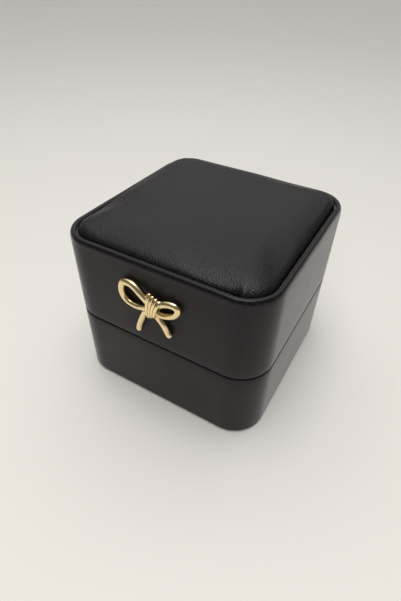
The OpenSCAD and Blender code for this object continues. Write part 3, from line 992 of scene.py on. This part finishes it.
# %% Lining of the lid
lid_liner_low, lid_liner_high = span("lid_liner")
lid_lined = half_x - span("lid_pad")[1][0] - glue_gap
POST_STEPS = [(-6.1, -3.1), (4.9, -2.3)]
KNOT_X, KNOT_Z = 1.4, 43.5
CLIP_ROOM, CLIP_DEPTH = 2.4, 0.75
pockets = [(KNOT_X + sx, KNOT_Z + sz, CLIP_ROOM, CLIP_DEPTH) for sx, sz in POST_STEPS]
pocket_x = [px + way * (CLIP_ROOM + gap) for px, *_ in pockets for way in (-1, 1) for gap in (-0.05, 0.05)]
lid_stations = loop_round((half_x, half_y), corner_r, extra_x=[s for x in pocket_x for s in (-x, x)])
points, faces = sweep_section(lid_stations, lining_section(
    lid_wall_in, lid_lined, lid_liner_low[2], lid_liner_high[2], lip_up=False, pockets=pockets))
add_piece("lid_lining", points, faces, "lid", "suede", SUEDE, ["lid_liner"])
print("linings: base %.2f to %.2f, lid %.2f to %.2f" % (
    base_liner_low[2], base_liner_high[2], lid_liner_low[2], lid_liner_high[2]))

# %% [markdown]
# ## The ring insert and the lid's pad
# The insert is two crowned pads that press together along a slit, which grips a ring's
# shank. The pad in the lid is the same thing upside down. All three come from the same net
# and the same cloth simulation as the top, with their own outlines.

# %% Ring insert
SUEDE_T = 0.8
SLIT_R = 1.2
SUEDE_LOOK, FOAM_LOOK = ("suede", SUEDE), ("foam", FOAM)


def add_ring_pad(name, side, nodes):
    """Half of the insert. side is 1 behind the slit and -1 before it, where the corners are tight."""
    low, high = span(nodes[0])
    half = (high[:2] - low[:2]) / 2
    centre = (high[:2] + low[:2]) / 2
    soft = corner_r - (half_x - high[0])
    radii = [SLIT_R, soft, soft, SLIT_R] if side > 0 else [soft, SLIT_R, SLIT_R, soft]
    outline = Outline(centre, half, radii)
    rise = 4.2
    outer, faces = swell(outline, deep=low[2], level=high[2] - rise, rise=rise,
                         lip=([5] * 8, [0.8] * 8), shoulder=[9] * 8, dome=0.6, up=1,
                         cells=40, pressure=3, cap=0.8)
    add_pad(name, outer, faces, 1, SUEDE_T, span(nodes[1])[0][2], "base", SUEDE_LOOK, FOAM_LOOK, nodes)
    print(name, len(faces), "faces, top at %.2f mm" % np.max(outer[:, 2]))


add_ring_pad("ring_pad_front", -1, ["ring_cushion_front", "ring_core_front"])
add_ring_pad("ring_pad_back", 1, ["ring_cushion_back", "ring_core_back"])

# %% Lid pad
LID_PAD_RISE = 2.6
pad_low, pad_high = span("lid_pad")
lid_outline = Outline((0, 0), pad_high[:2], [corner_r - (half_x - pad_high[0])] * 4)
outer, faces = swell(lid_outline, deep=-pad_high[2], level=-pad_low[2] - LID_PAD_RISE, rise=LID_PAD_RISE,
                     lip=([3] * 8, [0.6] * 8), shoulder=[9] * 8, dome=0.4, up=-1,
                     cells=48, pressure=-3, cap=0.6)
add_pad("lid_pad", outer, faces, -1, SUEDE_T, -span("lid_pad_foam")[1][2], "lid", SUEDE_LOOK, FOAM_LOOK,
        ["lid_pad", "lid_pad_foam"])
print("lid pad:", len(faces), "faces, lowest at %.2f mm" % np.min(outer[:, 2]))

# %% [markdown]
# ## The panels at the back
# Where the ends of each wrap meet, a separate panel of leatherette is glued over the join. It
# is a thin slab bent to the wall, with edges that the knife has left slightly rounded.

# %% Back panels
KNIFE_R = 0.45
WALL_GAP = 0.03


def back_point(run, out):
    """Place on the back, run mm from the middle of the wall, out mm outside it."""
    straight = half_x - corner_r
    if abs(run) <= straight:
        return run, half_y + out
    turn = (abs(run) - straight) / corner_r
    reach = corner_r + out
    return math.copysign(straight + reach * math.sin(turn), run), half_y - corner_r + reach * math.cos(turn)


def stations_between(start, end, ease, count):
    """Even places from start to end, with closer ones where the edges are round."""
    near = [start, start + 0.1, start + 0.25, end - 0.25, end - 0.1, end]
    return sorted(set(np.round(np.concatenate([np.linspace(start + ease, end - ease, count), near]), 4)))


def back_panel(name, node, body, low, high):
    """A slab bent to the back, between two heights, that replaces a frame node."""
    panel_high = span(node)[1]
    straight = half_x - corner_r
    thick = panel_high[1] - half_y
    wide = straight + corner_r * math.asin((panel_high[0] - straight) / (corner_r + thick))
    runs = stations_between(-wide, wide, KNIFE_R, 41)
    rises = stations_between(low, high, KNIFE_R, 17)
    points = []
    for run in runs:
        for z in rises:
            edge = min(wide - abs(run), z - low, high - z, KNIFE_R)
            out = thick - KNIFE_R + math.sqrt(max(0.0, KNIFE_R ** 2 - (KNIFE_R - edge) ** 2))
            points.append((*back_point(run, out + 0.4 * slack(run, 9, z)), z))
    front = len(points)
    points += [(*back_point(run, WALL_GAP), z) for run in runs for z in rises]
    n, m = len(runs), len(rises)
    faces = []
    for i in range(n - 1):
        for j in range(m - 1):
            quad = (i * m + j, (i + 1) * m + j, (i + 1) * m + j + 1, i * m + j + 1)
            faces += [quad, tuple(front + k for k in quad[::-1])]
    ring = [i * m for i in range(n)] + [(n - 1) * m + j for j in range(1, m)] + \
           [i * m + m - 1 for i in range(n - 2, -1, -1)] + list(range(m - 2, 0, -1))
    faces += [(b, a, a + front, b + front) for a, b in zip(ring, ring[1:] + ring[:1])]
    add_piece(name, points, faces, body, "leatherette", WALL_LEATHER, [node])


lid_panel_high = span("lid_back_panel")[1]
hinge_gap = hinge_clearance(0, lid_panel_high[1]) + glue_gap
back_panel("lid_back_patch", "lid_back_panel", "lid", hinge_z + hinge_gap, lid_panel_high[2] - 0.1)
back_panel("base_back_patch", "base_back_panel", "base", span("base_back_panel")[0][2], hinge_z - hinge_gap)
print("back panels stand %.2f mm off the seam" % hinge_gap)

# %% [markdown]
# ## The bow
# The bow is cast metal, made to look like a tied cord. Each strand is a tube swept along a
# smooth curve, and the knot is four turns that fan out at the top and meet at the bottom.
# Casting and polishing melt such parts together, so the tubes are joined into one skin by a
# voxel remesh and then smoothed. Working at a thousand times the size keeps the voxels in
# millimetres.

# %% Strands
def smooth_path(spots, steps=9):
    """Catmull-Rom curve through some points."""
    spots = np.array(spots, float)
    line = np.vstack([2 * spots[0] - spots[1], spots, 2 * spots[-1] - spots[-2]])
    path = []
    for a, b, c, d in zip(line, line[1:], line[2:], line[3:]):
        square, cube = 2 * a - 5 * b + 4 * c - d, 3 * b - a - 3 * c + d
        for t in np.linspace(0, 1, steps, endpoint=False):
            path.append(0.5 * (2 * b + (c - a) * t + square * t ** 2 + cube * t ** 3))
    return np.array(path + [spots[-1]])


def tube(path, radii, closed=False, sides=18):
    """Tube round a path, with round ends unless it is closed. radii runs from start to end."""
    radii = np.interp(np.linspace(0, 1, len(path)), np.linspace(0, 1, len(radii)), radii)
    ahead = np.roll(path, -1, 0) - np.roll(path, 1, 0)
    if not closed:
        ahead[0], ahead[-1] = path[1] - path[0], path[-1] - path[-2]
        for end, sign in ((0, -1), (-1, 1)):
            push = ahead[end] / np.linalg.norm(ahead[end]) * sign
            caps = [(path[end] + push * radii[end] * math.sin(a), radii[end] * math.cos(a), ahead[end])
                    for a in np.radians([30, 55, 75, 88])]
            extra = [np.array([c[k] for c in (caps[::-1] if end == 0 else caps)]) for k in range(3)]
            pair = (extra[0], path), (extra[1], radii), (extra[2], ahead)
            path, radii, ahead = (np.concatenate(p if end == 0 else p[::-1]) for p in pair)
    ahead = ahead / np.linalg.norm(ahead, axis=1, keepdims=True)
    side = np.cross(ahead[0], (0.3, 1, 0.1))
    points = []
    for centre, radius, way in zip(path, radii, ahead):
        side = side - way * (side @ way)
        side /= np.linalg.norm(side)
        lift = np.cross(way, side)
        points += [centre + radius * (math.cos(a) * side + math.sin(a) * lift)
                   for a in np.linspace(0, 2 * math.pi, sides, endpoint=False)]
    rings = len(path)
    faces = []
    for i in range(rings if closed else rings - 1):
        for j in range(sides):
            a, b = i * sides + j, i * sides + (j + 1) % sides
            faces.append((a, b, b + sides, a + sides) if i < rings - 1 else (a, b, (j + 1) % sides, j))
    if not closed:
        faces += [tuple(range(sides))[::-1], tuple(range((rings - 1) * sides, rings * sides))]
    return points, faces


def by_knot(steps):
    """Sideways, up and stand-off from the leatherette, as places."""
    return [(KNOT_X + s, front_y - off, KNOT_Z + u) for s, u, off in steps]


# %% [markdown]
# ### Loops, tails and turns
# The loops and tails are short lists of places, counted from the knot. The four turns are
# ellipses that go round everything there; each is a step between the first and the last. Two
# short cores fill the knot, and two posts go back through the wall to the clips.

# %% Bow
LEFT_LOOP = [(-0.5, -0.1, 1.6), (-3.2, 2.2, 1.6), (-5, 3.5, 1.4), (-6.5, 4.2, 1.3), (-8.1, 4.2, 1.2),
             (-9.5, 3.5, 1.1), (-10.3, 1.8, 1), (-10.4, -0.1, 1), (-9.7, -1.8, 1), (-8.2, -2.9, 1),
             (-6.1, -3.2, 1.1), (-4, -2.9, 1.2), (-0.4, -1.4, 1.6)]
RIGHT_LOOP = [(0.1, -0.4, 1.6), (2.7, 1.3, 1.6), (4.8, 2.2, 1.4), (6.5, 2.3, 1.2), (7.5, 1.7, 1.1),
              (7.6, 0.4, 1), (6.6, -1.2, 1), (4.9, -2.3, 1), (3.2, -2.8, 1.1), (1.7, -2.6, 1.2),
              (0.2, -1.6, 1.5)]
LEFT_TAIL = [(-0.3, -2, 1.6), (-1.7, -3.2, 1.5), (-3.1, -4.8, 1.3), (-4.3, -7.5, 1.15), (-5.3, -10, 1),
             (-5.7, -11.8, 1)]
RIGHT_TAIL = [(0.1, -2, 1.6), (0.8, -3.1, 1.5), (1.8, -4.6, 1.2), (3, -6.1, 1.1), (3.9, -8, 1),
              (4.7, -9.4, 1)]
# a turn's top and foot, first sideways and then up
FIRST_TURN, LAST_TURN, TURNS = np.array([-0.5, -0.9, 3.4, -4.6]), np.array([2.6, 0.9, 2.1, -3.7]), 4
TURN_OUT, TURN_REACH = 1.75, 1.4

strands = [tube(smooth_path(by_knot(LEFT_LOOP)), [1.05, 1.15, 1.1, 1.0, 0.96, 0.96]),
           tube(smooth_path(by_knot(RIGHT_LOOP)), [1.0, 1.05, 0.98, 0.94, 0.94]),
           tube(smooth_path(by_knot(LEFT_TAIL)), [0.92, 0.93, 0.95, 0.95]),
           tube(smooth_path(by_knot(RIGHT_TAIL)), [0.92, 0.92, 0.95, 0.95])]
for share in np.linspace(0, 1, TURNS):
    top_x, foot_x, top_z, foot_z = FIRST_TURN + (LAST_TURN - FIRST_TURN) * share
    ring = [((top_x + foot_x) / 2 + (top_x - foot_x) / 2 * math.sin(a),
             (top_z + foot_z) / 2 + (top_z - foot_z) / 2 * math.sin(a),
             TURN_OUT + TURN_REACH * math.cos(a)) for a in np.linspace(0, 2 * math.pi, 40, endpoint=False)]
    strands.append(tube(np.array(by_knot(ring)), [0.47, 0.53, 0.47, 0.36, 0.47], closed=True))
for aside in (-0.3, 0.3):
    core = [(aside, -3, 1.6), (0.4 + aside, -0.3, 1.8), (0.9 + aside, 2.1, 1.6)]
    strands.append(tube(smooth_path(by_knot(core)), [0.75, 1.1, 0.8]))
for sx, sz in POST_STEPS:
    post = by_knot([(sx, sz, 0.6), (sx, sz, -1), (sx, sz, -2.7)])
    strands.append(tube(np.array(post), [0.6]))
print("bow:", len(strands), "strands")

# %% [markdown]
# ### Melting the strands together
# The remesh needs closed tubes that overlap, and a voxel smaller than the thinnest turn. Three
# rounds of smoothing then take the steps out of it and round the valleys, as casting does.

# %% Casting
def melt(parts, voxel, smoothing):
    """Joins tubes into one skin, in millimetres. Returns its points and faces."""
    points, faces = [], []
    for some_points, some_faces in parts:
        faces += [tuple(k + len(points) for k in f) for f in some_faces]
        points += [tuple(p) for p in some_points]
    mesh = bpy.data.meshes.new("melt")
    mesh.from_pydata(points, [], faces)
    work = bpy.data.objects.new("melt", mesh)
    bpy.context.collection.objects.link(work)
    remesh = work.modifiers.new("remesh", "REMESH")
    remesh.mode, remesh.voxel_size = "VOXEL", voxel
    soften = work.modifiers.new("soften", "SMOOTH")
    soften.factor, soften.iterations = 0.5, smoothing
    made = work.evaluated_get(bpy.context.evaluated_depsgraph_get()).to_mesh()
    result = [tuple(v.co) for v in made.vertices], [tuple(f.vertices) for f in made.polygons]
    bpy.data.objects.remove(work)
    bpy.data.meshes.remove(mesh)
    return result


points, faces = melt(strands, voxel=0.08, smoothing=3)
add_piece("bow_casting", points, faces, "lid", "gold", GOLD, ["bow"])
print("bow casting:", len(faces), "faces")
